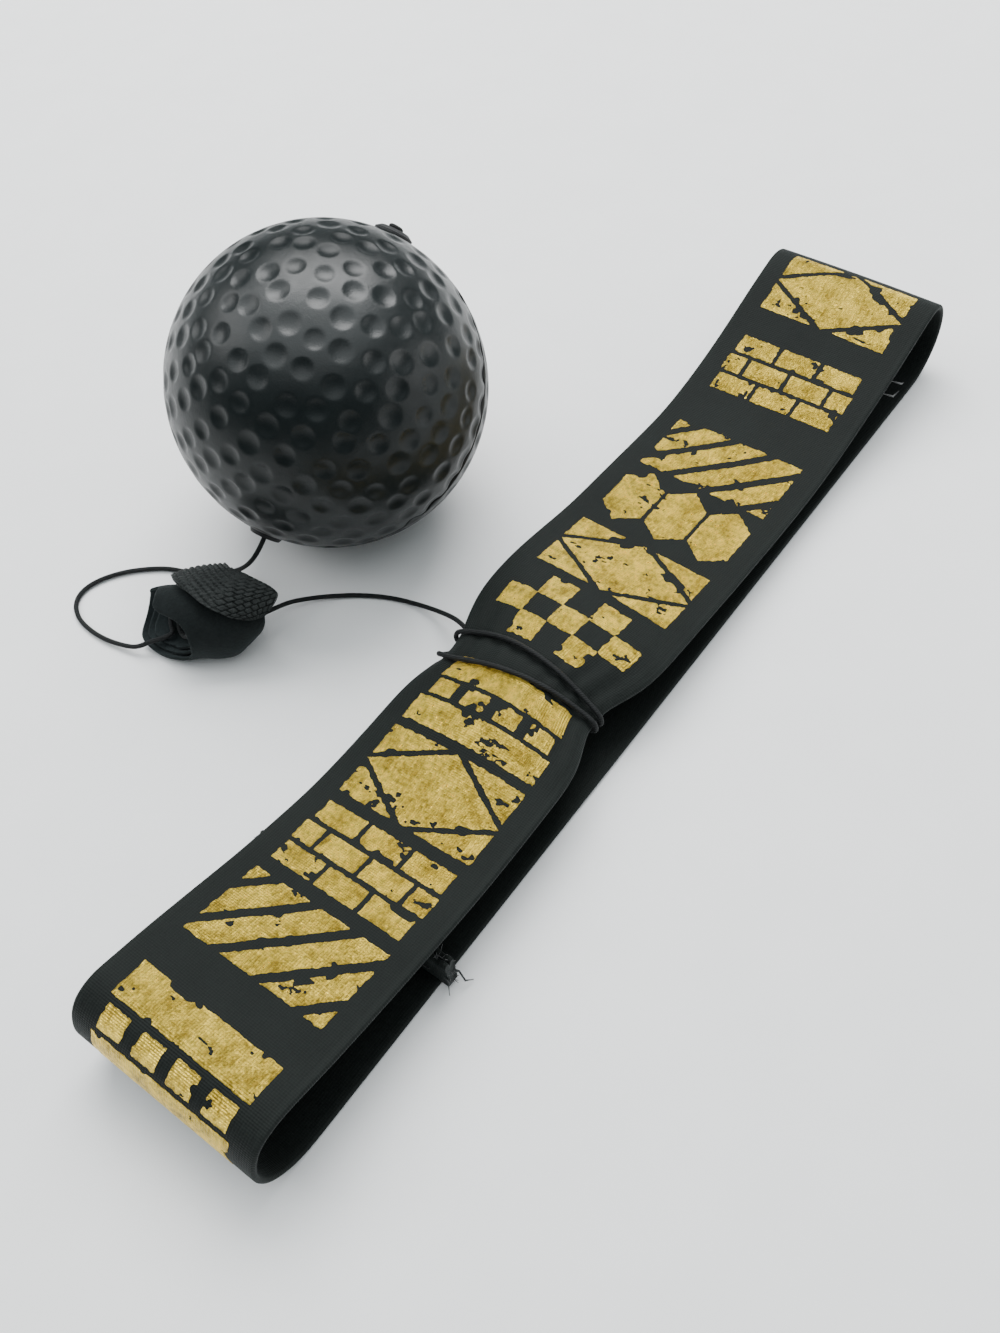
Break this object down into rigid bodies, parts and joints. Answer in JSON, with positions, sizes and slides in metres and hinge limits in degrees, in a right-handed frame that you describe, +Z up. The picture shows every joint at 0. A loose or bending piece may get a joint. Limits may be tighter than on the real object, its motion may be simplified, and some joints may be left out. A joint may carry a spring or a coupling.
{
  "type": "reflex ball headband",
  "caption": "Reflex ball headband: a dimpled rubber ball on a thin elastic cord, hitched to a folded elastic band with gold foil blocks.",
  "frame": {"origin": "on the floor, midway along the folded headband and midway between the band's outer edge and the ball's far side", "axes": "+X along the folded headband, +Y from the band towards the ball, +Z up from the floor"},
  "size_m": [0.2292, 0.119, 0.065],
  "materials": {
    "ball_rubber": "semi-gloss moulded rubber with small dimples",
    "eyelet_rubber": "matt rubber",
    "cord": "fine braided elastic cover",
    "tape": "woven elastic tape, fine ribs",
    "thread": "twisted sewing thread",
    "gold_foil": "worn metallic gold heat-pressed film",
    "strap_loop": "brushed loop pile",
    "strap_hook": "coarse woven grid with hook rows"
  },
  "bodies": {
    "root": {"headband_tape": "tape", "headband_seam_thread": "thread", "gold_film_01": "gold_foil", "gold_film_02": "gold_foil", "gold_film_03": "gold_foil", "gold_film_04": "gold_foil", "gold_film_05": "gold_foil", "gold_film_06": "gold_foil", "gold_film_07": "gold_foil", "gold_film_08": "gold_foil", "gold_film_09": "gold_foil", "gold_film_10": "gold_foil", "gold_film_11": "gold_foil", "cord_in_ball": "cord", "cord_lead": "cord", "cord_coil": "cord", "cord_run": "cord", "cord_hitch": "cord", "hitch_knot": "cord", "ball_end_washer": "eyelet_rubber", "ball_end_knot": "cord", "keeper_strap": "strap_loop", "keeper_tab_thread": "thread"},
    "ball": {"ball_front_half": "ball_rubber", "ball_rear_half": "ball_rubber", "ball_exit_eyelet": "eyelet_rubber"},
    "keeper_tab": {"keeper_hook_tab": "strap_hook"}
  },
  "joints": [
    {"name": "ball_spin", "type": "hinge", "parent": "root", "child": "ball", "pos_m": [0.0065, 0.027, 0.0325], "axis": [0.7879, 0.0138, 0.6157], "continuous": true},
    {"name": "keeper_tab_peel", "type": "hinge", "parent": "root", "child": "keeper_tab", "pos_m": [-0.0342, 0.03095, 0.01086], "axis": [-0.6947, 0.7193, 0], "range_deg": [0, 60]}
  ]
}
